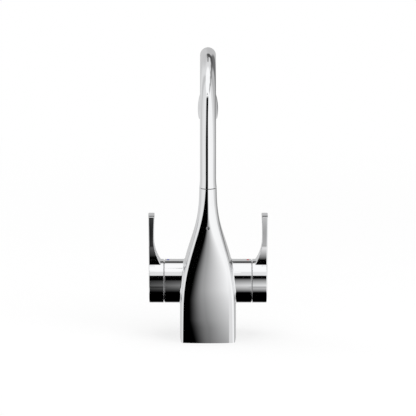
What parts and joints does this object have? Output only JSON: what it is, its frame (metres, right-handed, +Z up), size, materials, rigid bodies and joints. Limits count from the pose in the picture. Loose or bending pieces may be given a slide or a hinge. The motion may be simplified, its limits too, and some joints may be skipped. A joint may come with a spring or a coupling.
{
  "type": "boiling water tap",
  "caption": "Deck-mounted boiling water tap: square-footed flaring column, tall arched swivel spout with barrel outlet, and an upright lever on a round arm at each side.",
  "frame": {"origin": "centre of the square base, on the worktop", "axes": "+Z up along the column; the spout reaches towards -Y, the user's side; hot lever at -X, cold lever at +X"},
  "size_m": [0.1434, 0.25, 0.331],
  "materials": {
    "polished_chrome": "polished chrome plate",
    "brass": "machined brass",
    "stainless_steel": "satin stainless steel",
    "ceramic": "lapped white ceramic",
    "rubber": "smooth black rubber",
    "white_plastic": "white glide plastic",
    "grey_plastic": "grey moulded plastic",
    "hot_mark": "red enamel dot",
    "cold_mark": "blue enamel dot"
  },
  "bodies": {
    "body": {"body_casting": "polished_chrome", "base_seal": "rubber", "spout_lock_screw": "stainless_steel", "boiling_tube_seal": "rubber", "hot_fixed_disc": "ceramic", "hot_seat_seal": "rubber", "hot_bonnet": "brass", "hot_bonnet_o_ring": "rubber", "hot_glide_ring": "white_plastic", "hot_index_dot": "hot_mark", "cold_fixed_disc": "ceramic", "cold_seat_seal": "rubber", "cold_bonnet": "brass", "cold_bonnet_o_ring": "rubber", "cold_glide_ring": "white_plastic", "cold_index_dot": "cold_mark"},
    "spout": {"spout_tube": "polished_chrome", "spout_stem": "brass", "lower_stem_o_ring": "rubber", "upper_stem_o_ring": "rubber", "lower_stem_glide_ring": "white_plastic", "upper_stem_glide_ring": "white_plastic", "boiling_tube": "stainless_steel", "nozzle_shell": "polished_chrome", "aerator_housing": "grey_plastic", "aerator_mesh": "grey_plastic", "aerator_seal": "rubber", "boiling_jet": "brass"},
    "hot_lever": {"hot_lever": "polished_chrome", "hot_lever_bush": "brass", "hot_lever_screw": "stainless_steel", "hot_spindle": "brass", "hot_spindle_o_ring": "rubber", "hot_moving_disc": "ceramic"},
    "cold_lever": {"cold_lever": "polished_chrome", "cold_lever_bush": "brass", "cold_lever_screw": "stainless_steel", "cold_spindle": "brass", "cold_spindle_o_ring": "rubber", "cold_moving_disc": "ceramic"}
  },
  "joints": [
    {"name": "spout_swivel", "type": "hinge", "parent": "body", "child": "spout", "pos_m": [0, 0, 0.1851], "axis": [0, 0, 1], "range_deg": [-75, 75]},
    {"name": "hot_lever_turn", "type": "hinge", "parent": "body", "child": "hot_lever", "pos_m": [-0.062, 0, 0.0685], "axis": [1, 0, 0], "range_deg": [0, 90]},
    {"name": "cold_lever_turn", "type": "hinge", "parent": "body", "child": "cold_lever", "pos_m": [0.062, 0, 0.0685], "axis": [1, 0, 0], "range_deg": [0, 90]}
  ]
}
